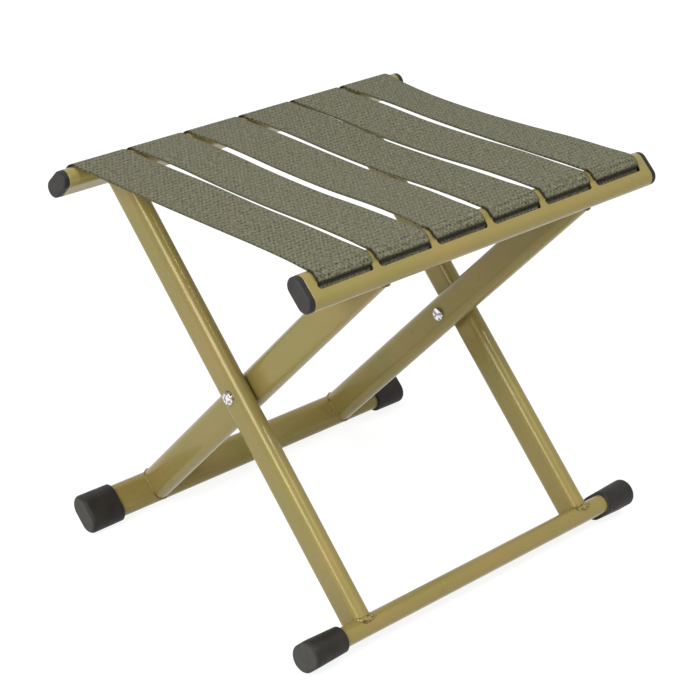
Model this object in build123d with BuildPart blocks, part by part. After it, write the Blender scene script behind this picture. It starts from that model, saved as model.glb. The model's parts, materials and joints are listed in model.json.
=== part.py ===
from build123d import *
import os
from math import asin, atan2, cos, degrees, hypot, radians, sin

# Folding camp stool. Two crossed frames of flat-oval steel tube are riveted
# together halfway up their legs, and six webbing straps between the two top
# rails make the seat and stop the frames from opening further.
#
# Millimetres, +Z up. X runs along the rails and the pivot axis, -Y is the
# front, and the origin is on the floor under the middle of the stool.
# The outer frame stands on the front foot rail and carries the rear seat
# rail. The inner frame, between the outer legs, does the opposite.

# ---- Driving dimensions -------------------------------------------------

# Flat-oval tube, one section for the whole stool
TUBE_WIDE = 24.0
TUBE_THIN = 13.2
TUBE_WALL = 1.2
EDGE_BREAK = 0.35

# The open stool
RAIL_LENGTH = 294.0
SEAT_SPAN = 239.6       # between the axes of the two seat rails, along Y
FOOT_SPAN = 236.4       # between the axes of the two foot rails, along Y
RAIL_RISE = 247.75      # from the foot rails' axes up to the seat rails' axes
OUTER_LEG_X = 102.6
INNER_LEG_X = 88.3

# Legs are coped over the rails' rounded edges, then welded round
COPE_LAP = 3.2
WELD_EDGE = 1.5         # bead on the rounded edges of the outer legs' feet
WELD_FLAT = 0.6         # bead everywhere else
WELD_HEIGHT = 1.6
WELD_TOE = 0.15

# Rubber foot cap, flared towards its closed end
CAP_WALL = 2.15         # at the mouth
CAP_EDGE_FLARE = 0.25
CAP_FLAT_FLARE = 0.85
CAP_LENGTH = 27.0
CAP_FOOT = 5.0          # straight length that the stool stands on
CAP_END = 3.2
CAP_ROUND = 2.8
CAP_LIP = 0.9

# Seat rail end plug
PLUG_HEAD = 4.4
PLUG_STEP = 0.2         # how far the head stands inside the tube's outline
PLUG_ROUND = 1.6
PLUG_STEM = 5.5
PLUG_RIB = 1.2
PLUG_FIT = 0.05

# Seat straps: doubled webbing with an eye at each end, on a rod in the rail
STRAP_COUNT = 6
STRAP_PITCH = 47.6
STRAP_WIDTH = 41.0
STRAP_NECK = 40.2       # where it is drawn together to pass the slot
NECK_LENGTH = 9.0
WEB_THICK = 0.9
WEB_CLEAR = 0.2
WEB_BEND = 1.2
SAG_SLOPE = 2.5         # degrees, where the strap leaves the rail
SLOT_LENGTH = 42.6
SLOT_WIDTH = 4.6
SLOT_OFFSET = -0.25     # from the middle of the flat, towards the seat
STRAP_OFFSET = 0.45
ROD_RADIUS = 2.2
ROD_LENGTH = 280.0

# Pivot rivet and washer
RIVET_RADIUS = 3.0
RIVET_CLEAR = 0.05
HEAD_RADIUS = 4.8
HEAD_RIM = 0.8
HEAD_HEIGHT = 2.7
TAIL_RADIUS = 4.7
TAIL_RIM = 1.1
TAIL_HEIGHT = 2.3
TAIL_GAP = 0.1
WASHER_RADIUS = 7.0
WASHER_THICK = 1.0

# ---- Worked out from them -----------------------------------------------

edge_centre = (TUBE_WIDE - TUBE_THIN) / 2       # of the rounded edge's arc
mouth_wide = TUBE_WIDE + 2 * CAP_WALL
mouth_thin = TUBE_THIN + 2 * CAP_WALL
foot_wide = mouth_wide + 2 * CAP_EDGE_FLARE
foot_thin = mouth_thin + 2 * CAP_FLAT_FLARE

leg_lean = atan2((SEAT_SPAN + FOOT_SPAN) / 2, RAIL_RISE)    # from vertical
leg_length = hypot((SEAT_SPAN + FOOT_SPAN) / 2, RAIL_RISE)
foot_z = (foot_wide - foot_thin) / 2 * sin(leg_lean) + foot_thin / 2
seat_z = foot_z + RAIL_RISE
pivot_z = foot_z + RAIL_RISE * FOOT_SPAN / (FOOT_SPAN + SEAT_SPAN)

OUTER = 1       # top of the outer frame leans towards +Y
INNER = -1


def along_leg(lean):
    """Unit vector up the legs of a frame."""
    return Vector(0, lean * sin(leg_lean), cos(leg_lean))


def across_tube(lean):
    """Unit vector along the tubes' wide side, towards the seat at the top."""
    return Vector(0, -lean * cos(leg_lean), sin(leg_lean))


def seat_axis(lean):
    return Vector(0, lean * SEAT_SPAN / 2, seat_z)


def foot_axis(lean):
    return Vector(0, -lean * FOOT_SPAN / 2, foot_z)


def rail_plane(lean, axis_point, x=0.0):
    """Plane square to a rail: local x along the wide side, y up the legs."""
    return Plane(
        origin=axis_point + Vector(x, 0, 0),
        x_dir=across_tube(lean),
        z_dir=Vector(-lean, 0, 0),
    )


def leg_plane(lean, x, height):
    """Plane square to a leg, at a distance up it from the foot rail's axis."""
    return Plane(
        origin=foot_axis(lean) + Vector(x, 0, 0) + along_leg(lean) * height,
        x_dir=across_tube(lean),
        z_dir=along_leg(lean),
    )


def save(part, label):
    """Name a finished piece and write it to its own file."""
    part.label = label
    export_step(part, f"parts/{label}.step")


# ---- Tubes --------------------------------------------------------------


def rail(lean, axis_point, slotted):
    """Straight flat-oval rail, punched for the straps if it is a seat rail."""
    with BuildPart() as tube:
        with BuildSketch(rail_plane(lean, axis_point)):
            SlotOverall(TUBE_WIDE, TUBE_THIN)
            SlotOverall(TUBE_WIDE - 2 * TUBE_WALL, TUBE_THIN - 2 * TUBE_WALL, mode=Mode.SUBTRACT)
        extrude(amount=RAIL_LENGTH / 2, both=True)
        ends = tube.faces().filter_by(Axis.X)
        fillet([edge for face in ends for edge in face.outer_wire().edges()], EDGE_BREAK)
        if slotted:
            flat = axis_point + along_leg(lean) * (TUBE_THIN / 2) + across_tube(lean) * SLOT_OFFSET
            with BuildSketch(Plane(origin=flat, x_dir=Vector(1, 0, 0), z_dir=along_leg(lean))):
                with GridLocations(STRAP_PITCH, 0, STRAP_COUNT, 1):
                    SlotOverall(SLOT_LENGTH, SLOT_WIDTH)
            extrude(amount=-2 * TUBE_WALL, mode=Mode.SUBTRACT)
            rims = tube.edges().filter_by(
                lambda edge: abs((edge.center() - flat).dot(along_leg(lean))) < 1e-3
                and abs(edge.center().X) < RAIL_LENGTH / 2 - 2
                and edge.length < SLOT_LENGTH
            )
            fillet(rims, EDGE_BREAK)
    return tube.part


def leg(lean, x):
    """Flat-oval leg from rail to rail, coped at both ends and drilled."""
    start = TUBE_THIN / 2 - COPE_LAP
    with BuildPart() as tube:
        with BuildSketch(leg_plane(lean, x, start)):
            SlotOverall(TUBE_WIDE, TUBE_THIN)
            SlotOverall(TUBE_WIDE - 2 * TUBE_WALL, TUBE_THIN - 2 * TUBE_WALL, mode=Mode.SUBTRACT)
        extrude(amount=leg_length - 2 * start)
        for axis_point in (foot_axis(lean), seat_axis(lean)):
            with BuildSketch(rail_plane(lean, axis_point, x)):
                SlotOverall(TUBE_WIDE, TUBE_THIN)
            extrude(amount=TUBE_WIDE, both=True, mode=Mode.SUBTRACT)
        with BuildSketch(Plane.YZ.offset(x)):
            with Locations((0, pivot_z)):
                Circle(RIVET_RADIUS + RIVET_CLEAR)
        extrude(amount=TUBE_THIN, both=True, mode=Mode.SUBTRACT)
    return tube.part


def weld(lean, x, at_seat):
    """Fillet weld all round one end of a leg."""
    axis_point = seat_axis(lean) if at_seat else foot_axis(lean)
    toe = TUBE_THIN / 2 - COPE_LAP
    top = TUBE_THIN / 2 + WELD_HEIGHT
    if at_seat:
        toe = leg_length - toe
        top = leg_length - top
    edge = WELD_EDGE if lean == OUTER and not at_seat else WELD_FLAT
    with BuildPart() as bead:
        with BuildSketch(leg_plane(lean, x, toe)):
            SlotOverall(TUBE_WIDE + 2 * edge, TUBE_THIN + 2 * WELD_FLAT)
        with BuildSketch(leg_plane(lean, x, top)):
            SlotOverall(TUBE_WIDE + 2 * WELD_TOE, TUBE_THIN + 2 * WELD_TOE)
        loft()
        with BuildSketch(leg_plane(lean, x, leg_length / 2)):
            SlotOverall(TUBE_WIDE, TUBE_THIN)
        extrude(amount=leg_length, both=True, mode=Mode.SUBTRACT)
        with BuildSketch(rail_plane(lean, axis_point, x)):
            SlotOverall(TUBE_WIDE, TUBE_THIN)
        extrude(amount=TUBE_WIDE, both=True, mode=Mode.SUBTRACT)
    return bead.part


# ---- Caps and plugs -----------------------------------------------------


def end_face(piece, side):
    """The piece's outermost face on the left (-1) or the right (1)."""
    return piece.faces().sort_by(Axis.X)[-1 if side > 0 else 0]


def foot_cap(lean, side):
    """Rubber cap over the end of a foot rail; the stool stands on four."""
    outward = Vector(side, 0, 0)
    end = RAIL_LENGTH / 2 + CAP_END
    mouth = end - CAP_LENGTH
    with BuildPart() as cap:
        with BuildSketch(rail_plane(lean, foot_axis(lean), side * mouth)):
            SlotOverall(mouth_wide, mouth_thin)
        with BuildSketch(rail_plane(lean, foot_axis(lean), side * (end - CAP_FOOT))):
            SlotOverall(foot_wide, foot_thin)
        loft()
        extrude(end_face(cap, side), amount=CAP_FOOT)
        fillet(end_face(cap, side).edges(), CAP_ROUND)
        fillet(end_face(cap, -side).edges(), CAP_LIP)
        with BuildSketch(rail_plane(lean, foot_axis(lean), side * mouth)):
            SlotOverall(TUBE_WIDE, TUBE_THIN)
        extrude(amount=CAP_LENGTH - CAP_END, dir=outward, mode=Mode.SUBTRACT)
    return cap.part


def rail_plug(lean, side):
    """Plastic plug: a rounded head just inside the tube's outline, and a ribbed stem."""
    outward = Vector(side, 0, 0)
    end = RAIL_LENGTH / 2
    bore_wide = TUBE_WIDE - 2 * TUBE_WALL - 2 * PLUG_FIT
    bore_thin = TUBE_THIN - 2 * TUBE_WALL - 2 * PLUG_FIT
    with BuildPart() as plug:
        with BuildSketch(rail_plane(lean, seat_axis(lean), side * end)):
            SlotOverall(TUBE_WIDE - 2 * PLUG_STEP, TUBE_THIN - 2 * PLUG_STEP)
        extrude(amount=PLUG_HEAD, dir=outward)
        fillet(end_face(plug, side).edges(), PLUG_ROUND)
        with BuildSketch(rail_plane(lean, seat_axis(lean), side * end)):
            SlotOverall(bore_wide - PLUG_RIB, bore_thin - PLUG_RIB)
            SlotOverall(bore_wide - 3 * PLUG_RIB, bore_thin - 3 * PLUG_RIB, mode=Mode.SUBTRACT)
        extrude(amount=PLUG_STEM, dir=-outward)
        for step in (1, 3):
            rib = end - step * PLUG_RIB
            with BuildSketch(rail_plane(lean, seat_axis(lean), side * rib)):
                SlotOverall(bore_wide, bore_thin)
                SlotOverall(bore_wide - 3 * PLUG_RIB, bore_thin - 3 * PLUG_RIB, mode=Mode.SUBTRACT)
            extrude(amount=PLUG_RIB / 2, dir=outward)
    return plug.part


# ---- Straps and rods ----------------------------------------------------

web_middle = TUBE_THIN / 2 + WEB_CLEAR + WEB_THICK     # doubled webbing, from the rail's axis
eye_bore = ROD_RADIUS + WEB_CLEAR
eye_radius = eye_bore + WEB_THICK
eye_height = TUBE_THIN / 2 - TUBE_WALL - WEB_CLEAR / 2 - eye_radius


def rod_axis(lean):
    """Point on a retaining rod's axis, inside the seat rail."""
    return seat_axis(lean) + across_tube(lean) * STRAP_OFFSET + along_leg(lean) * eye_height


def retaining_rod(lean):
    """Steel rod through the six strap eyes, trapped under the slots."""
    with BuildPart() as rod:
        with BuildSketch(rail_plane(lean, rod_axis(lean))):
            Circle(ROD_RADIUS)
        extrude(amount=ROD_LENGTH / 2, both=True)
        chamfer(rod.edges(), EDGE_BREAK)
    return rod.part


def seat_strap(x):
    """Doubled webbing: eye, out of the slot, round the rail, across, and back."""
    slope = radians(SAG_SLOPE)
    up = along_leg(OUTER)
    inwards = across_tube(OUTER)
    edge = seat_axis(OUTER) + inwards * edge_centre
    sag_radius = edge.Y / sin(slope) - web_middle
    with BuildPart() as strap:
        with BuildSketch(Plane.YZ.offset(x)):
            with BuildLine():
                foot = seat_axis(OUTER) + inwards * STRAP_OFFSET
                low = foot + up * (eye_height + eye_bore + WEB_THICK / 2)
                high = foot + up * (web_middle - WEB_BEND)
                rise = Line((low.Y, low.Z), (high.Y, high.Z))
                bend = JernArc(rise @ 1, rise % 1, WEB_BEND, 90)
                flat = Line(bend @ 1, bend @ 1 + (bend % 1) * (edge_centre - STRAP_OFFSET - WEB_BEND))
                wrap = JernArc(flat @ 1, flat % 1, web_middle, degrees(leg_lean) + SAG_SLOPE)
                JernArc(wrap @ 1, wrap % 1, sag_radius, -SAG_SLOPE)
                mirror(about=Plane.YZ)
            trace(line_width=2 * WEB_THICK)
            eyes = [(rod_axis(lean).Y, rod_axis(lean).Z) for lean in (OUTER, INNER)]
            with Locations(eyes):
                Circle(eye_radius)
            with Locations(eyes):
                Circle(eye_bore, mode=Mode.SUBTRACT)
        extrude(amount=STRAP_WIDTH / 2, both=True)
        neck_end = foot.Y - WEB_BEND
        with BuildSketch(Plane.XY.offset(pivot_z)):
            with BuildLine():
                Polyline(
                    (x + STRAP_WIDTH / 2, 0),
                    (x + STRAP_WIDTH / 2, neck_end - NECK_LENGTH),
                    (x + STRAP_NECK / 2, neck_end),
                    (x + STRAP_NECK / 2, SEAT_SPAN),
                    (x - STRAP_NECK / 2, SEAT_SPAN),
                    (x - STRAP_NECK / 2, neck_end),
                    (x - STRAP_WIDTH / 2, neck_end - NECK_LENGTH),
                    (x - STRAP_WIDTH / 2, 0),
                )
                mirror(about=Plane.XZ)
            make_face()
        extrude(amount=RAIL_RISE, mode=Mode.INTERSECT)
    return strap.part


# ---- Pivots -------------------------------------------------------------


def pivot_rivet(side):
    """Rivet from the outer leg's outside to its formed tail inside the inner leg."""
    outward = Vector(side, 0, 0)
    head_face = OUTER_LEG_X + TUBE_THIN / 2
    tail_face = INNER_LEG_X - TUBE_THIN / 2 - TAIL_GAP
    with BuildPart() as rivet:
        with BuildSketch(Plane.YZ.offset(side * head_face)):
            with Locations((0, pivot_z)):
                Circle(HEAD_RADIUS)
        extrude(amount=HEAD_HEIGHT, dir=outward)
        fillet(end_face(rivet, side).edges(), HEAD_HEIGHT - HEAD_RIM)
        with BuildSketch(Plane.YZ.offset(side * tail_face)):
            with Locations((0, pivot_z)):
                Circle(TAIL_RADIUS)
        extrude(amount=TAIL_HEIGHT, dir=-outward)
        fillet(end_face(rivet, -side).edges(), TAIL_HEIGHT - TAIL_RIM)
        with BuildSketch(Plane.YZ.offset(side * tail_face)):
            with Locations((0, pivot_z)):
                Circle(RIVET_RADIUS)
        extrude(amount=head_face - tail_face, dir=outward)
    return rivet.part


def pivot_washer(side):
    """Nylon washer that keeps the painted legs apart."""
    gap_start = OUTER_LEG_X - TUBE_THIN / 2
    with BuildPart() as washer:
        with BuildSketch(Plane.YZ.offset(side * gap_start)):
            with Locations((0, pivot_z)):
                Circle(WASHER_RADIUS)
                Circle(RIVET_RADIUS + RIVET_CLEAR, mode=Mode.SUBTRACT)
        extrude(amount=WASHER_THICK, dir=(-side, 0, 0))
    return washer.part


# ---- The stool ----------------------------------------------------------

os.makedirs("parts", exist_ok=True)

SIDES = {"left": -1, "right": 1}

save(rail(OUTER, seat_axis(OUTER), slotted=True), "rear_seat_rail")
save(rail(INNER, seat_axis(INNER), slotted=True), "front_seat_rail")
save(rail(OUTER, foot_axis(OUTER), slotted=False), "front_foot_rail")
save(rail(INNER, foot_axis(INNER), slotted=False), "rear_foot_rail")

for frame, lean, leg_x in (("outer", OUTER, OUTER_LEG_X), ("inner", INNER, INNER_LEG_X)):
    for side_name, side in SIDES.items():
        save(leg(lean, side * leg_x), f"{frame}_{side_name}_leg")
        save(weld(lean, side * leg_x, at_seat=False), f"{frame}_{side_name}_foot_weld")
        save(weld(lean, side * leg_x, at_seat=True), f"{frame}_{side_name}_seat_weld")

for side_name, side in SIDES.items():
    save(foot_cap(OUTER, side), f"front_{side_name}_foot_cap")
    save(foot_cap(INNER, side), f"rear_{side_name}_foot_cap")
    save(rail_plug(OUTER, side), f"rear_{side_name}_rail_plug")
    save(rail_plug(INNER, side), f"front_{side_name}_rail_plug")
    save(pivot_rivet(side), f"{side_name}_pivot_rivet")
    save(pivot_washer(side), f"{side_name}_pivot_washer")

save(retaining_rod(OUTER), "rear_strap_rod")
save(retaining_rod(INNER), "front_strap_rod")

for number in range(1, STRAP_COUNT + 1):
    strap_x = (number - (STRAP_COUNT + 1) / 2) * STRAP_PITCH
    save(seat_strap(strap_x), f"seat_strap_{number}")

# How far the stool folds before its foot caps meet
foot_radius = FOOT_SPAN / 2 / sin(leg_lean)
caps_meet = 2 * asin(foot_wide / 2 / foot_radius)
print("leg lean", round(degrees(leg_lean), 2), "pivot height", round(pivot_z, 2))
print("fold until the caps meet", round(2 * degrees(leg_lean) - degrees(caps_meet), 2))
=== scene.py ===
import json
import math

import bpy
import numpy as np
from mathutils import Matrix, Vector


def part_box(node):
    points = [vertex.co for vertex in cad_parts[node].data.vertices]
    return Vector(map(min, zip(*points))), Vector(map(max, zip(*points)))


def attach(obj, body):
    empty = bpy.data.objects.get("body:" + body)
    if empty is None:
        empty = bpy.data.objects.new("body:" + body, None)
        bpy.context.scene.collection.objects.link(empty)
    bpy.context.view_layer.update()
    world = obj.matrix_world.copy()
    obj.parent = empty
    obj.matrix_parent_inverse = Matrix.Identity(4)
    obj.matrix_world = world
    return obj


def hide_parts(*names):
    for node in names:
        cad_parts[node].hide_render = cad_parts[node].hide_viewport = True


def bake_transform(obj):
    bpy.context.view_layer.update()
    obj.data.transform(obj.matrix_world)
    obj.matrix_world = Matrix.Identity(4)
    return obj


# Looks of the folding camp stool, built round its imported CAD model.
# Metres, in the CAD model's frame. Lengths in millimetres are written 1.2 * MM.

MM = 0.001

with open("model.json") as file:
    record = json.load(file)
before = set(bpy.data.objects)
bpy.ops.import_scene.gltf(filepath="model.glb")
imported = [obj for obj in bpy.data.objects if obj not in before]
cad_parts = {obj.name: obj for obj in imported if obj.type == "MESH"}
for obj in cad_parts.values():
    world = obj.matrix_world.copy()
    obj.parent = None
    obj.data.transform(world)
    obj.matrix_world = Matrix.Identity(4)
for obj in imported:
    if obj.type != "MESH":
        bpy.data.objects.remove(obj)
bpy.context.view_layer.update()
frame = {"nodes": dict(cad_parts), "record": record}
nodes = frame["nodes"]
scene = bpy.context.scene
scene.view_settings.view_transform = "Standard"

REAR, FRONT = 1, -1     # sides of the stool along Y

# ---- Places read from the CAD model ---------------------------------------


def middle(node):
    """Middle of a CAD solid's box."""
    low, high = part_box(node)
    return (low + high) / 2


rail_axis = {REAR: middle("rear_seat_rail"), FRONT: middle("front_seat_rail")}
foot_axis = {REAR: middle("rear_foot_rail"), FRONT: middle("front_foot_rail")}
lean = math.atan2(      # angle of the legs from upright
    rail_axis[REAR].y - foot_axis[FRONT].y, rail_axis[REAR].z - foot_axis[FRONT].z
)
leg_low, leg_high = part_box("outer_left_leg")
tube_thin = leg_high.x - leg_low.x
tube_radius = tube_thin / 2     # of the flat-oval tube's rounded edges
rail_low, rail_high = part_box("rear_seat_rail")
# from the tube's middle to the centre of a rounded edge
edge_centre = (rail_high.y - rail_low.y - tube_thin) / 2 / math.cos(lean)
# from the middle of the stool to where the seat's flat stretch ends, along Y
seat_edge = rail_axis[REAR].y - edge_centre * math.cos(lean)

# ---- Small helpers -----------------------------------------------------------


def add_object(data):
    """A new object in the scene, named like its data."""
    made = bpy.data.objects.new(data.name, data)
    scene.collection.objects.link(made)
    return made


def unit(vectors):
    """Rows of vectors, each one long."""
    return vectors / np.linalg.norm(vectors, axis=1)[:, None]


def smooth(value, start, end):
    """0 up to start, 1 from end, and an even rise between."""
    t = np.clip((value - start) / (end - start), 0, 1)
    return t * t * (3 - 2 * t)


def through(stations, values, at):
    """Smooth curve through evenly spread values, by cubic interpolation."""
    slopes = np.gradient(values, stations)
    index = np.clip(np.searchsorted(stations, at) - 1, 0, len(stations) - 2)
    width = stations[index + 1] - stations[index]
    t = np.clip((at - stations[index]) / width, 0, 1)
    h00, h10 = (1 + 2 * t) * (1 - t) ** 2, t * (1 - t) ** 2
    h01, h11 = t * t * (3 - 2 * t), t * t * (t - 1)
    return (
        h00 * values[index] + h10 * width * slopes[index]
        + h01 * values[index + 1] + h11 * width * slopes[index + 1]
    )


def ring_mesh(name, points, finish):
    """Smooth mesh through rings of points, closed round each ring and from last to first."""
    rings, size = points.shape[:2]
    ring, slot = np.meshgrid(np.arange(rings), np.arange(size), indexing="ij")
    next_ring, next_slot = (ring + 1) % rings, (slot + 1) % size
    quads = np.stack((
        ring * size + slot, ring * size + next_slot,
        next_ring * size + next_slot, next_ring * size + slot,
    ), axis=-1).reshape(-1, 4)

    mesh = bpy.data.meshes.new(name)
    mesh.vertices.add(rings * size)
    mesh.vertices.foreach_set("co", points.reshape(-1).astype(np.float32))
    mesh.loops.add(quads.size)
    mesh.loops.foreach_set("vertex_index", quads.reshape(-1).astype(np.int32))
    mesh.polygons.add(len(quads))
    mesh.polygons.foreach_set("loop_start", np.arange(0, quads.size, 4, dtype=np.int32))
    mesh.update(calc_edges=True)
    mesh.shade_smooth()
    mesh.materials.append(finish)
    return mesh


def mark(mesh, name, *values):
    """Give each point of a ring mesh a vector, which its material reads by this name."""
    vectors = np.stack(np.broadcast_arrays(*values), axis=-1)
    attribute = mesh.attributes.new(name, "FLOAT_VECTOR", "POINT")
    attribute.data.foreach_set("vector", vectors.reshape(-1).astype(np.float32))


# ---- Camera ----------------------------------------------------------------

CAMERA_PLACE = Vector((-0.7986, -0.8783, 0.7095))
CAMERA_AZIMUTH = math.radians(-42.157)
CAMERA_ELEVATION = math.radians(25.843)
CAMERA_ROLL = math.radians(-0.332)
CAMERA_LENS = 99.44
CAMERA_SENSOR = 36

back = Vector((
    math.sin(CAMERA_AZIMUTH) * math.cos(CAMERA_ELEVATION),
    -math.cos(CAMERA_AZIMUTH) * math.cos(CAMERA_ELEVATION),
    math.sin(CAMERA_ELEVATION),
))
level_right = Vector((math.cos(CAMERA_AZIMUTH), math.sin(CAMERA_AZIMUTH), 0))
level_up = back.cross(level_right)
right = level_right * math.cos(CAMERA_ROLL) + level_up * math.sin(CAMERA_ROLL)
up = level_up * math.cos(CAMERA_ROLL) - level_right * math.sin(CAMERA_ROLL)

camera = add_object(bpy.data.cameras.new("camera"))
camera.data.lens = CAMERA_LENS
camera.data.sensor_width = CAMERA_SENSOR
camera.data.clip_start = 0.05
camera.matrix_world = Matrix((
    (right.x, up.x, back.x, CAMERA_PLACE.x),
    (right.y, up.y, back.y, CAMERA_PLACE.y),
    (right.z, up.z, back.z, CAMERA_PLACE.z),
    (0, 0, 0, 1),
))
scene.camera = camera

# ---- Materials ---------------------------------------------------------------


class Nodes:
    """A node tree under construction: short ways to make and join its nodes."""

    def __init__(self, tree):
        self.tree = tree

    def node(self, kind, **values):
        made = self.tree.nodes.new(kind)
        for key, value in values.items():
            setattr(made, key, value)
        return made

    def join(self, source, target):
        self.tree.links.new(source, target)

    def fill(self, socket, value):
        """Join an output to the socket, or set the socket to a constant."""
        if isinstance(value, bpy.types.NodeSocket):
            self.join(value, socket)
        else:
            socket.default_value = value

    def math(self, operation, *values):
        made = self.node("ShaderNodeMath", operation=operation)
        for socket, value in zip(made.inputs, values):
            self.fill(socket, value)
        return made.outputs[0]

    def split(self, vector):
        """The three parts of a vector."""
        made = self.node("ShaderNodeSeparateXYZ")
        self.join(vector, made.inputs[0])
        return made.outputs

    def attribute(self, name):
        """A vector that the mesh carries for each of its points."""
        return self.node("ShaderNodeAttribute", attribute_name=name).outputs["Vector"]

    def place(self, scale=(1, 1, 1), turn=(0, 0, 0)):
        """Object coordinates, turned and stretched: they stay with a piece in every pose."""
        coordinates = self.node("ShaderNodeTexCoord")
        mapping = self.node("ShaderNodeMapping")
        mapping.inputs["Scale"].default_value = scale
        mapping.inputs["Rotation"].default_value = turn
        self.join(coordinates.outputs["Object"], mapping.inputs["Vector"])
        return mapping.outputs[0]

    def stretch(self, vector, scale):
        """A vector, stretched along its axes."""
        made = self.node("ShaderNodeVectorMath", operation="MULTIPLY")
        self.join(vector, made.inputs[0])
        made.inputs[1].default_value = scale
        return made.outputs[0]

    def noise(self, scale, detail=2, vector=None):
        made = self.node("ShaderNodeTexNoise")
        made.inputs["Scale"].default_value = scale
        made.inputs["Detail"].default_value = detail
        self.join(vector or self.place(), made.inputs["Vector"])
        return made.outputs["Fac"]

    def spread(self, value, low, high, to_low=0.0, to_high=1.0):
        """Map value from low..high to to_low..to_high, held at the ends."""
        made = self.node("ShaderNodeMapRange")
        for key, number in (
            ("From Min", low), ("From Max", high), ("To Min", to_low), ("To Max", to_high)
        ):
            made.inputs[key].default_value = number
        self.join(value, made.inputs["Value"])
        return made.outputs["Result"]

    def blend(self, factor, first, second):
        """Mix two colours: the first at factor 0, the second at factor 1."""
        made = self.node("ShaderNodeMix", data_type="RGBA")
        self.fill(made.inputs[0], factor)
        for socket, value in ((made.inputs[6], first), (made.inputs[7], second)):
            self.fill(socket, (*value, 1) if isinstance(value, tuple) else value)
        return made.outputs[2]

    def bump(self, height, distance, strength=1.0, under=None):
        made = self.node("ShaderNodeBump")
        made.inputs["Strength"].default_value = strength
        made.inputs["Distance"].default_value = distance
        self.join(height, made.inputs["Height"])
        if under is not None:
            self.join(under, made.inputs["Normal"])
        return made.outputs[0]

    def facing_sideways(self, low, high):
        """Rises from 0 to 1 as the surface turns to face left or right."""
        geometry = self.node("ShaderNodeNewGeometry")
        normal = self.split(geometry.outputs["Normal"])
        return self.spread(self.math("ABSOLUTE", normal[0]), low, high)

    def seen_directly(self):
        """1 for rays that see a surface, also in a reflection, and 0 for its light."""
        path = self.node("ShaderNodeLightPath").outputs
        seen = self.math("MAXIMUM", path["Is Camera Ray"], path["Is Glossy Ray"])
        return self.math("MAXIMUM", seen, path["Is Transmission Ray"])


class Shader(Nodes):
    """A material under construction."""

    def __init__(self, name):
        self.material = bpy.data.materials.new(name)
        self.material.use_nodes = True
        super().__init__(self.material.node_tree)
        self.body = self.tree.nodes["Principled BSDF"]

    def set(self, **values):
        """Join or set the sockets of the surface, and return the finished material."""
        for key, value in values.items():
            self.fill(self.body.inputs[key.replace("_", " ")], value)
        return self.material


def make_paint(name, pitted=False):
    """Glossy khaki-gold enamel with a faint orange peel, or pitted over a weld."""
    s = Shader(name)
    drift = s.spread(s.noise(24, 3), 0.36, 0.64)
    colour = s.blend(drift, (0.250, 0.206, 0.061), (0.280, 0.210, 0.067))
    fleck = s.spread(s.noise(900, 2), 0.62, 0.75)
    colour = s.blend(s.math("MULTIPLY", fleck, 0.12), colour, (0.16, 0.125, 0.04))
    rough = s.spread(s.noise(60, 4), 0.25, 0.75, 0.26, 0.34)
    peel = s.bump(s.noise(420, 3), 0.015 * MM, 0.6)
    if pitted:
        pits = s.spread(s.noise(560, 3), 0.48, 0.62)
        colour = s.blend(s.math("MULTIPLY", pits, 0.85), colour, (0.060, 0.038, 0.014))
        peel = s.bump(s.noise(430, 3), 0.9 * MM, 0.9, under=peel)
    return s.set(
        Base_Color=colour, Roughness=rough, Normal=peel, Metallic=0.1,
        Specular_IOR_Level=0.15, Coat_Weight=0.4, Coat_Roughness=0.05, Coat_IOR=1.32,
    )


def make_rubber():
    """Matt black foot rubber, its flat ends painted paler grey as painted light from the side,
    broken up by noise.
    """
    s = Shader("foot_rubber")
    mottle = s.spread(s.noise(90, 5), 0.3, 0.7)
    colour = s.blend(mottle, (0.013, 0.011, 0.009), (0.021, 0.018, 0.015))
    # Painted light: the flat ends, which face the side lamps, are painted paler grey, broken
    # up by noise.
    end = s.facing_sideways(0.75, 0.98)
    painted_end_light = s.math("MULTIPLY", end, s.spread(s.noise(160, 5), 0.25, 0.6, 0.7, 1.0))
    colour = s.blend(painted_end_light, colour, (0.050, 0.047, 0.041))
    rough = s.spread(s.noise(200, 3), 0.3, 0.7, 0.48, 0.60)
    grain = s.bump(s.noise(1500, 3), 0.03 * MM, 0.8)
    return s.set(Base_Color=colour, Roughness=rough, Normal=grain, Specular_IOR_Level=0.24)


def make_plastic():
    """Moulded dark plug plastic with a fine spark-eroded grain; the sides of its head are
    painted darker than its face, as painted shade.
    """
    s = Shader("plug_plastic")
    mottle = s.spread(s.noise(120, 4), 0.3, 0.7)
    face = s.blend(mottle, (0.025, 0.023, 0.022), (0.038, 0.036, 0.033))
    # Painted shade: the sides of the plug's head are painted near black, as if in a shadowed
    # gap; the face keeps its own mottled colour.
    colour = s.blend(s.facing_sideways(0.35, 0.85), (0.012, 0.010, 0.010), face)
    rough = s.spread(s.noise(240, 3), 0.3, 0.7, 0.48, 0.62)
    grain = s.bump(s.noise(1800, 2), 0.02 * MM, 0.7)
    return s.set(Base_Color=colour, Roughness=rough, Normal=grain, Specular_IOR_Level=0.25)


def make_plating():
    """Bright plating, hammered, with dark patches painted in as painted reflection of dark
    surroundings.
    """
    s = Shader("rivet_nickel")
    # Painted reflection: dark patches in the plating's colour stand in for reflections of dark
    # surroundings.
    painted_dark_reflection = s.spread(s.noise(420, 2), 0.47, 0.56)
    colour = s.blend(painted_dark_reflection, (0.86, 0.84, 0.82), (0.30, 0.27, 0.29))
    scratches = s.noise(1, 2, s.place((3000, 400, 400), (0.4, 0.3, 0.2)))
    rough = s.spread(scratches, 0.3, 0.7, 0.12, 0.24)
    dents = s.bump(s.noise(480, 2), 0.3 * MM, 0.8)
    return s.set(Base_Color=colour, Roughness=rough, Normal=dents, Metallic=1.0)


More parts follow.
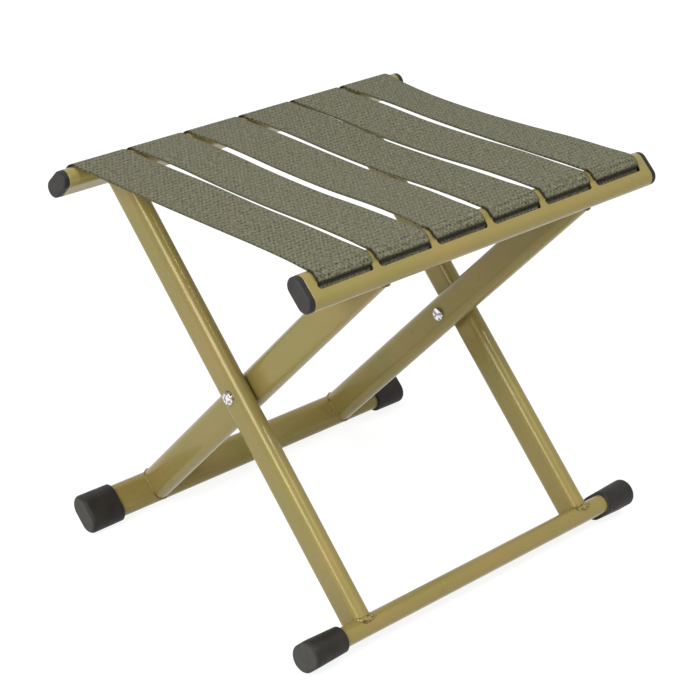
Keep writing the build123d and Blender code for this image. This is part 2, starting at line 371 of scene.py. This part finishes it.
def make_nylon():
    """Nylon washer, coloured dark olive as painted shade, so that it reads as the shadow
    between the legs.
    """
    s = Shader("washer_nylon")
    # Painted shade: the washer is made dark to look like the shadow in the gap between the
    # legs.
    colour = s.blend(s.noise(250, 3), (0.060, 0.050, 0.026), (0.085, 0.070, 0.036))
    swirl = s.bump(s.noise(900, 2), 0.02 * MM, 0.6)
    return s.set(Base_Color=colour, Normal=swirl, Roughness=0.45)


def make_rod():
    """Drawn steel rod with lines along its length."""
    s = Shader("rod_steel")
    lines = s.noise(1, 3, s.place((40, 4000, 4000)))
    colour = s.blend(lines, (0.34, 0.34, 0.34), (0.50, 0.50, 0.49))
    rough = s.spread(lines, 0.3, 0.7, 0.3, 0.5)
    return s.set(Base_Color=colour, Roughness=rough, Metallic=1.0)


WEAVE_ACROSS = 3.0 * MM     # two warp yarns
WEAVE_ALONG = 4.2 * MM      # two weft picks


def make_webbing():
    """Olive polypropylene webbing.

    Its meshes carry their lie in the attribute weave (across, along, number of the
    strap), and in the attribute turn how far they are tucked into a slot and wrapped
    round a rail, and the distance from the edge.
    """
    s = Shader("olive_webbing")
    lie = s.attribute("weave")
    across, along, _ = s.split(lie)
    tucked, wrapped, inset = s.split(s.attribute("turn"))

    def wave(value, length):
        return s.math("COSINE", s.math("MULTIPLY", value, 2 * math.pi / length))

    # The weave: cells of warp and weft, with fibres in them and stray threads.
    wobble = s.math("MULTIPLY", s.math("SUBTRACT", s.noise(55, 2), 0.5), 1.6 * MM)
    along = s.math("ADD", along, wobble)
    picks = wave(along, WEAVE_ALONG)
    cells = s.math("MULTIPLY", wave(across, WEAVE_ACROSS), picks)
    relief = s.math("MULTIPLY_ADD", picks, 0.5, cells)
    fibres = s.math(
        "MULTIPLY", wave(across, WEAVE_ACROSS / 5), wave(along, WEAVE_ALONG / 3)
    )
    patchy = s.spread(s.noise(210, 3), 0.35, 0.65, 0.05, 0.9)
    threads = s.spread(s.noise(1, 3, s.stretch(lie, (260, 900, 7))), 0.3, 0.7, -1, 1)
    specks = s.spread(s.noise(1100, 3), 0.3, 0.7, -1, 1)

    # Its colour: painted shade between the yarns and a painted highlight on their tops, with
    # stray threads and specks in their own tone.
    shade = s.math("MULTIPLY", relief, patchy)
    shade = s.math("MULTIPLY_ADD", threads, 0.8, shade)
    shade = s.math("MULTIPLY_ADD", specks, 0.75, shade)
    lit = s.spread(shade, -1.15, 1.15)
    drift = s.spread(s.noise(18, 3), 0.42, 0.64)
    base = s.blend(drift, (0.099, 0.100, 0.052), (0.112, 0.096, 0.058))
    deep = s.blend(0.8, base, (0.028, 0.027, 0.014))
    high = s.blend(0.8, base, (0.222, 0.218, 0.148))
    colour = s.blend(lit, deep, high)

    # Painted shade: darker towards the edges, most of all round the rails, and in the slots,
    # where shade falls.
    # Painted shade along the edges, which curve away from the light and lie beside shadowed
    # gaps.
    painted_edge_shade = s.spread(inset, 0.1 * MM, 1.7 * MM, 0.3, 0)
    painted_edge_shade = s.math("MULTIPLY", painted_edge_shade, s.spread(wrapped, 0, 1, 0.3, 1))
    colour = s.blend(painted_edge_shade, colour, (0.045, 0.044, 0.026))
    # Painted shade: the very edge, the strap's side in shadow, is painted near black, most of
    # all round the rails.
    rim_shade = s.spread(inset, 0, 0.5 * MM, 1, 0)
    rim_shade = s.math("MULTIPLY", rim_shade, s.spread(wrapped, 0, 1, 0.04, 0.8))
    colour = s.blend(rim_shade, colour, (0.016, 0.016, 0.009))
    # Painted shade: dark where the webbing is tucked into a slot and its fold lies in shadow.
    slot_shade = s.math("MULTIPLY", s.spread(tucked, 0.15, 0.5), s.spread(tucked, 0.8, 1, 1, 0.55))
    colour = s.blend(s.math("MULTIPLY", slot_shade, 0.85), colour, (0.020, 0.016, 0.009))

    height = s.math("MULTIPLY_ADD", fibres, 0.18, relief)
    height = s.math("MULTIPLY_ADD", threads, 0.5, height)
    weave = s.bump(height, 0.14 * MM)
    fuzz = s.bump(s.noise(2600, 2), 0.03 * MM, 0.5, under=weave)
    return s.set(
        Base_Color=colour, Roughness=0.9, Normal=fuzz, Sheen_Weight=0.03,
        Sheen_Roughness=0.5, Specular_IOR_Level=0.15,
    )


weld_paint = make_paint("weld_enamel", pitted=True)
finishes = {
    "frame_paint": make_paint("khaki_enamel"),
    "foot_rubber": make_rubber(),
    "plug_plastic": make_plastic(),
    "rivet_plating": make_plating(),
    "washer_nylon": make_nylon(),
    "rod_steel": make_rod(),
    "seat_webbing": make_webbing(),
}

for subpart in frame["record"]["subparts"]:
    mesh = nodes[subpart["node"]].data
    mesh.materials.clear()
    mesh.materials.append(finishes[subpart["material_slot"]])

# ---- Seat straps: the closed line that all of them follow -----------------------

PLY = 0.8 * MM              # one thickness of webbing
PLY_APART = 0.88 * MM       # between the middles of the two plies
LIE_CLEAR = 0.12 * MM       # between the lower ply and the rail
TURN_INTO_SLOT = 1.7 * MM   # radius of the bend, at the middle of both plies
SLOT_SHIFT = 1.15 * MM      # of the straps, from the rail's middle towards the seat
SLOT_ENTRY = 0.3 * MM       # from the bend to the slot's straight stretch
SQUEEZE = 0.62              # how thin the plies are drawn in the slot
ROD_SHIFT = 0.45 * MM       # of the rod, from the rail's middle towards the seat
ROD_HEIGHT = 2.0 * MM       # of the rod above the rail's axis, along the legs
ROD_TURN = 2.75 * MM        # radius of the loop round the rod
ROD_CLEAR = 0.6 * MM        # from that loop to the slot's straight stretch
FINE = 0.7 * MM             # step along the upper ply, which is seen
COARSE = 2.4 * MM           # and along the lower one

lie_height = tube_radius + LIE_CLEAR + PLY / 2 + PLY_APART / 2


def rail_directions(side):
    """Unit vectors in (y, z) along the rail's wide side, inwards, and up its legs."""
    inwards = np.array((-side * math.cos(lean), math.sin(lean)))
    upwards = np.array((side * math.sin(lean), math.cos(lean)))
    return inwards, upwards


def rail_end_path(side, ply):
    """Points of one ply from under the rod up to the top of the rail.

    Each is y, z, its share of the full thickness, and how far it is narrowed to the
    slot, from 0 to 1. ply is 1 for the upper ply and -1 for the lower one.
    """
    off = ply * PLY_APART / 2
    local = []
    for degree in range(270, 134, -15):     # round the rod, the lower ply the other way
        angle = math.radians(degree if ply > 0 else 540 - degree)
        local.append((
            ROD_SHIFT + ROD_TURN * math.cos(angle),
            ROD_HEIGHT + ROD_TURN * math.sin(angle), 1, 1,
        ))
    bend_base = lie_height - TURN_INTO_SLOT
    slot_start = ROD_HEIGHT + ROD_TURN + ROD_CLEAR
    for height in np.linspace(slot_start, bend_base - SLOT_ENTRY, 4):   # up the slot
        local.append((SLOT_SHIFT - off * SQUEEZE, height, SQUEEZE, 1))
    flat_start = SLOT_SHIFT + TURN_INTO_SLOT
    for degree in range(180, 89, -10):      # over the slot's edge
        angle = math.radians(degree)
        out_of_slot = (180 - degree) / 90
        thin = SQUEEZE + (1 - SQUEEZE) * out_of_slot
        radius = TURN_INTO_SLOT + off * thin
        local.append((
            flat_start + radius * math.cos(angle),
            bend_base + radius * math.sin(angle), thin, 1 - out_of_slot,
        ))
    for reach in np.linspace(flat_start, edge_centre, 10)[1:]:      # along the flat side
        local.append((reach, lie_height + off, 1, 0))
    radius = lie_height + off
    for angle in np.linspace(0, lean, 14)[1:]:      # round the rail's edge, until level
        local.append((edge_centre + radius * math.sin(angle), radius * math.cos(angle), 1, 0))
    inwards, upwards = rail_directions(side)
    axis = np.array((rail_axis[side].y, rail_axis[side].z))
    return np.array([(*(axis + inwards * a + upwards * b), *rest) for a, b, *rest in local])


def band_path():
    """Closed line of the webbing: over the seat, round a rod, and back under."""
    upper_rear, lower_rear = rail_end_path(REAR, 1), rail_end_path(REAR, -1)
    upper_front, lower_front = rail_end_path(FRONT, 1), rail_end_path(FRONT, -1)
    span = upper_rear[-1, 0] - upper_front[-1, 0]

    def across(start, end, step):
        count = int(span / step)
        return start + (end - start) * (np.arange(1, count) / count)[:, None]

    return np.concatenate((
        upper_rear,
        across(upper_rear[-1], upper_front[-1], FINE),
        upper_front[::-1],
        lower_front[1:],
        across(lower_front[-1], lower_rear[-1], COARSE),
        lower_rear[::-1][:-1],
    ))


# ---- Seat straps: their widths and lies ----------------------------------------

WEB_WIDTH = 41.0 * MM
SLOT_WIDTH = 40.4 * MM      # of the webbing where it passes the slot
FLARE = 0.9 * MM            # how far each edge spreads where it is drawn over a rail
SWAY_HELD = 0.8             # share of its shift that a rail or slot takes away
# Where a strap changes, from and to, past the ends of the seat's flat stretch:
FLARING = (-22 * MM, -1 * MM)   # its edges spread
SETTLING = (-9 * MM, 2 * MM)    # its drop dies out
WRAPPING = (-4 * MM, 2 * MM)    # it turns down round the rail
HOLD_BEFORE = 2 * MM        # the rear rail holds it from here before the seat's edge
HOLD_AFTER = 1 * MM         # and fully from here past the rail's middle
RELIEF = 0.11 * MM          # height of the weave
CELL_SHARE = 0.7            # of it in single cells, the rest in whole picks
RELIEF_REACH = 1.2 * MM     # over which it dies out at the edges
STAGGER = 1.3 * MM          # of the weave from one strap to the next
COLUMNS = 58                # points across the outer face
EDGE_STEPS = 4              # points round each edge

# How each strap lies, at the front rail, four places between, and the rear rail:
# its middle's shift to the right, and the drop of its left and right edges, in mm.
LIES = (
    (
        (0.4, 1.9, 2.0, 2.4, 1.9, 1.2),
        (0, 0.4, 0.9, 1.5, 1.2, 0),
        (0, 0.1, 0.5, 0.1, 0.1, 0),
    ), (
        (-0.9, 0.4, 0.5, 0.9, 1.2, 0.6),
        (0, 0.5, 1.3, 1.3, 0.1, 0),
        (0, 1.1, 2.5, 2.1, 0.5, 0),
    ), (
        (-1.5, 0.4, 0.6, 1.3, 1.7, 1.0),
        (0, 0.3, 1.8, 1.8, 0.4, 0),
        (0, 0.1, 1.7, 1.3, 0.4, 0),
    ), (
        (-0.5, 0.7, 0.7, 0.9, 1.5, 1.0),
        (0, 0.9, 2.4, 2.1, 0.7, 0),
        (0, 1.3, 2.4, 2.5, 0.2, 0),
    ), (
        (-0.2, 0.5, 0.2, 0.1, 0.0, -0.4),
        (0, 1.0, 2.8, 3.3, 1.6, 0),
        (0, 0.2, 1.4, 1.8, 0.3, 0),
    ), (
        (-1.2, -0.5, -0.4, -0.5, -0.5, -0.6),
        (0, 1.1, 1.7, 1.4, 0.2, 0),
        (0, 1.1, 3.5, 4.7, 4.0, 0),
    ),
)


def ply_section():
    """Section of one ply, counter-clockwise: outer face, edge, inner face, edge.

    Returns each point's place across, 1 at the right and -1 at the left, its height
    above the ply's middle, and whether it is on the outer face.
    """
    face = np.linspace(-1, 1, COLUMNS)
    inner = face[::-2]      # half as many points, because it is hardly seen
    arc = np.radians(np.linspace(90, -90, EDGE_STEPS + 2)[1:-1])
    bulge = np.cos(arc) * PLY / WEB_WIDTH
    across = np.concatenate((face, 1 + bulge, inner, -1 - bulge[::-1]))
    lift = np.concatenate((
        np.full(len(face), 1.0), np.sin(arc), np.full(len(inner), -1.0), np.sin(arc[::-1]),
    )) * PLY / 2
    return across, lift, np.arange(len(across)) < len(face)


def strap(number, band):
    """One webbing strap along the closed line, woven in relief, in a lie of its own."""
    shift, left_drop, right_drop = (np.array(row) * MM for row in LIES[number - 1])
    path, thin, narrow = band[:, :2], band[:, 2:3], band[:, 3]
    y, z = path.T
    around = unit(np.roll(path, -1, axis=0) - np.roll(path, 1, axis=0))
    outward = np.stack((around[:, 1], -around[:, 0]), axis=1)   # out of the closed loop
    steps = np.linalg.norm(np.diff(path, axis=0, append=path[:1]), axis=1)
    along = np.concatenate(((0,), np.cumsum(steps)[:-1]))[:, None]
    across, lift, outer = ply_section()

    past_seat = np.abs(y) - seat_edge
    flare = FLARE * smooth(past_seat, *FLARING)
    half = (WEB_WIDTH / 2 + flare) * (1 - narrow) + SLOT_WIDTH / 2 * narrow - PLY / 2
    u = across * half[:, None]

    # The front slots hold a strap only inside them, and the rear rail from its edge on.
    at_rear = smooth(y, seat_edge - HOLD_BEFORE, rail_axis[REAR].y + HOLD_AFTER)
    held = np.where(y < 0, narrow, at_rear)
    stations = np.linspace(-seat_edge, seat_edge, len(shift))
    sway = through(stations, shift, y) * (1 - SWAY_HELD * held)
    free = 1 - smooth(past_seat, *SETTLING)
    left_fall = (through(stations, left_drop, y) * free)[:, None]
    right_fall = (through(stations, right_drop, y) * free)[:, None]
    side = (across + 1) / 2     # 0 at the left edge, 1 at the right
    drop = left_fall * (1 - side) + right_fall * side

    picks = np.cos(2 * math.pi * along / WEAVE_ALONG)
    cells = np.cos(2 * math.pi * u / WEAVE_ACROSS) * picks
    fade = np.clip((1 - np.abs(across)) * half.max() / RELIEF_REACH, 0, 1)
    weave = RELIEF * (CELL_SHARE * cells + (1 - CELL_SHARE) * picks) * fade
    height = lift * thin + np.where(outer, weave, 0)
    points = np.stack((
        middle(f"seat_strap_{number}").x + sway[:, None] + u,
        y[:, None] + outward[:, :1] * height,
        z[:, None] + outward[:, 1:] * height - drop,
    ), axis=-1)

    mesh = ring_mesh(f"webbing_strap_{number}", points, finishes["seat_webbing"])
    mark(mesh, "weave", u, along + number * STAGGER, float(number))
    tucked = (1 - thin) / (1 - SQUEEZE)
    wrapped = smooth(past_seat, *WRAPPING)[:, None]
    mark(mesh, "turn", tucked, wrapped, half[:, None] - np.abs(u))
    piece = add_object(mesh)
    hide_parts(f"seat_strap_{number}")
    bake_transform(piece)


shared_band = band_path()
for strap_number in range(1, len(LIES) + 1):
    strap(strap_number, shared_band)

# ---- Weld beads ------------------------------------------------------------------

BEAD = 0.65 * MM            # radius of a bead's section beside the legs' flat sides
TACK = {                    # and at the legs' round edges
    ("outer", "seat"): 0.75 * MM,
    ("inner", "seat"): 0.75 * MM,
    ("inner", "foot"): 1.0 * MM,
    ("outer", "foot"): 2.3 * MM,
}
TACK_RISE = (2 * MM, 6 * MM)    # where it starts and is reached, past the flat side
COPE_LAP = 3.2 * MM         # how far down the rail's side the bead follows the leg
RIPPLE = 0.20               # share of the radius, with every ripple
RIPPLE_STEP = 2.6 * MM
SLOW_SWELL, QUICK_SWELL = 0.18, 0.12        # uneven shares on top of it
SLOW_RATE, QUICK_RATE = 1.31 / MM, 3.1 / MM     # radians per metre along the bead
SWELL_SHIFT = 40            # radians per metre of a leg's x, so that the sides differ
FLAT_STEPS = 12             # points along each flat side of a leg
ROUND_STEPS = 24            # and round each edge
BEAD_RING = 12              # points round a bead's section


def leg_outline():
    """Places round a leg's flat-oval section and their outward directions, in (x, across)."""
    places, outs = [], []
    for end in (1, -1):
        for step in range(FLAT_STEPS):
            places.append((end * tube_radius, end * (step / FLAT_STEPS * 2 - 1) * edge_centre))
            outs.append((end, 0))
        for step in range(ROUND_STEPS):
            angle = math.pi * step / ROUND_STEPS
            out = (end * math.cos(angle), end * math.sin(angle))
            places.append((out[0] * tube_radius, end * edge_centre + out[1] * tube_radius))
            outs.append(out)
    return np.array(places), np.array(outs)


def weld_bead(frame_name, side_name, end_name):
    """Rippled bead round one end of a leg, where it meets its rail."""
    slant = REAR if frame_name == "outer" else FRONT
    sideways = np.array((1, 0, 0))
    across = np.array((0, -slant * math.cos(lean), math.sin(lean)))
    along = np.array((0, slant * math.sin(lean), math.cos(lean)))   # from rail to leg
    if end_name == "seat":
        rail, along = rail_axis[slant], -along
    else:
        rail = foot_axis[-slant]
    leg_x = middle(f"{frame_name}_{side_name}_leg").x
    places, outs = leg_outline()
    x, a = places[:, :1], places[:, 1:]

    # The line where the leg's surface meets the rail's, and the way out between both.
    past = np.maximum(np.abs(a) - edge_centre, 0)
    height = np.sqrt(np.maximum(tube_radius ** 2 - past ** 2, 0))
    height = np.maximum(height, tube_radius - COPE_LAP)
    start = np.array((leg_x, rail.y, rail.z))
    centres = start + sideways * x + across * a + along * height
    from_leg = sideways * outs[:, :1] + across * outs[:, 1:]
    from_rail = (across * np.copysign(past, a) + along * height) / tube_radius
    out = unit(from_leg + from_rail)
    ahead = np.roll(centres, -1, axis=0) - np.roll(centres, 1, axis=0)
    beside = unit(np.cross(ahead, out))

    run = np.cumsum(np.linalg.norm(np.diff(centres, axis=0, prepend=centres[:1]), axis=1))
    tack = TACK[frame_name, end_name]
    radius = BEAD + (tack - BEAD) * smooth(past[:, 0], *TACK_RISE)
    radius *= 1 + RIPPLE * np.cos(2 * math.pi * run / RIPPLE_STEP)
    radius *= (
        1 + SLOW_SWELL * np.sin(run * SLOW_RATE + leg_x * SWELL_SHIFT)
        + QUICK_SWELL * np.sin(run * QUICK_RATE)
    )
    turn = -2 * math.pi * np.arange(BEAD_RING) / BEAD_RING
    ring = (
        out[:, None] * np.cos(turn)[:, None] + beside[:, None] * np.sin(turn)[:, None]
    )
    points = centres[:, None] + ring * radius[:, None, None]

    mesh = ring_mesh(f"weld_bead_{frame_name}_{side_name}_{end_name}", points, weld_paint)
    piece = add_object(mesh)
    finer = piece.modifiers.new("finer", "SUBSURF")
    finer.levels = finer.render_levels = 1
    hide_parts(f"{frame_name}_{side_name}_{end_name}_weld")
    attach(piece, f"{frame_name}_frame")


for frame_name in ("outer", "inner"):
    for side_name in ("left", "right"):
        for end_name in ("foot", "seat"):
            weld_bead(frame_name, side_name, end_name)

# ---- Floor, world and lamps ----------------------------------------------------

FLOOR_SIZE = 6.0
FLOOR_GLOW = 0.87           # its white where it is seen
FLOOR_SHADE = 0.22          # and what the lamps add there, so that it shows the shadow
FLOOR_BOUNCE = 0.78         # how pale it is for the light that it throws back
WORLD_LIGHT = 0.52          # of the world on the stool; it is seen as white
LAMP_AIM = Vector((0, 0, 0.14))     # the middle of the stool

floor_shader = Shader("white_floor")
seen = floor_shader.seen_directly()
speckle = floor_shader.spread(floor_shader.noise(6, 2), 0.3, 0.7, 0.985, 1.0)
tone = floor_shader.math(
    "MULTIPLY", speckle, floor_shader.spread(seen, 0, 1, FLOOR_BOUNCE, FLOOR_SHADE)
)
grey = floor_shader.node("ShaderNodeCombineColor")
for channel in grey.inputs:
    floor_shader.join(tone, channel)
floor_shader.set(
    Base_Color=grey.outputs[0], Roughness=1.0, Specular_IOR_Level=0.0,
    Emission_Color=(1, 1, 1, 1),
    Emission_Strength=floor_shader.math("MULTIPLY", seen, FLOOR_GLOW),
)

floor_mesh = bpy.data.meshes.new("floor")
half_floor = FLOOR_SIZE / 2
floor_mesh.from_pydata(
    [(x * half_floor, y * half_floor, 0) for x, y in ((-1, -1), (1, -1), (1, 1), (-1, 1))],
    [], [(0, 1, 2, 3)],
)
floor_mesh.materials.append(floor_shader.material)
floor = add_object(floor_mesh)

world = bpy.data.worlds.new("studio")
scene.world = world
world.use_nodes = True
sky = Nodes(world.node_tree)
background = world.node_tree.nodes["Background"]
background.inputs["Color"].default_value = (1, 1, 1, 1)
sky.join(
    sky.spread(sky.seen_directly(), 0, 1, WORLD_LIGHT, 1.0), background.inputs["Strength"]
)


def softbox(name, direction, distance, size, power):
    """Square area lamp that looks at the stool from a direction."""
    data = bpy.data.lights.new(name, "AREA")
    data.shape = "SQUARE"
    data.size = size
    data.energy = power
    lamp = add_object(data)
    way = Vector(direction).normalized()
    lamp.location = way * distance + LAMP_AIM
    lamp.rotation_euler = way.to_track_quat("Z", "Y").to_euler()


softbox("key", direction=(-0.80, -0.28, 0.53), distance=1.6, size=0.7, power=15)
softbox("top", direction=(0.02, -0.54, 0.84), distance=1.8, size=0.5, power=13)
softbox("fill", direction=(0.10, 0.45, 1.0), distance=2.0, size=1.4, power=8)
